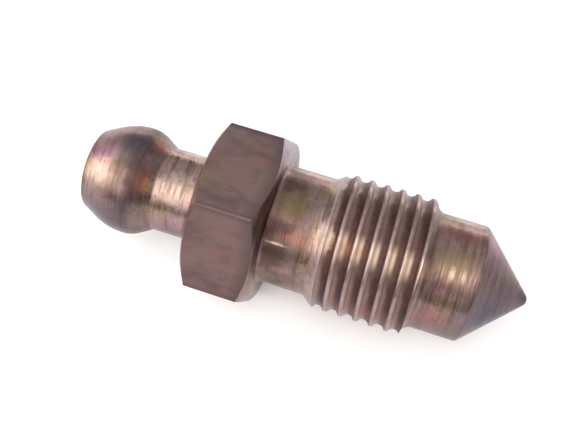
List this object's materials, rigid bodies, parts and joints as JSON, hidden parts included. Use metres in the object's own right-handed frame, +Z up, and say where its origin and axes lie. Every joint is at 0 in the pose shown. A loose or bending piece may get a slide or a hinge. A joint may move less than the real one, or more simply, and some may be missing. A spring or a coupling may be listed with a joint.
{
  "type": "bleeder screw",
  "caption": "Hollow hexagon screw with a rounded hose nipple at one end and a sealing cone at the other, backed off to let air and fluid out of a brake cylinder.",
  "frame": {"origin": "on the screw's axis, in the plane of the hexagon's thread-side face", "axes": "+X along the axis towards the sealing cone, +Z up, square to the hexagon flat that faces up"},
  "size_m": [0.0306, 0.0128, 0.0112],
  "materials": {
    "plated_steel": "drawn flats and fine turning marks under a thin, dull, yellow-brown passivated zinc"
  },
  "bodies": {
    "root": {"bleeder_screw": "plated_steel"}
  },
  "joints": []
}
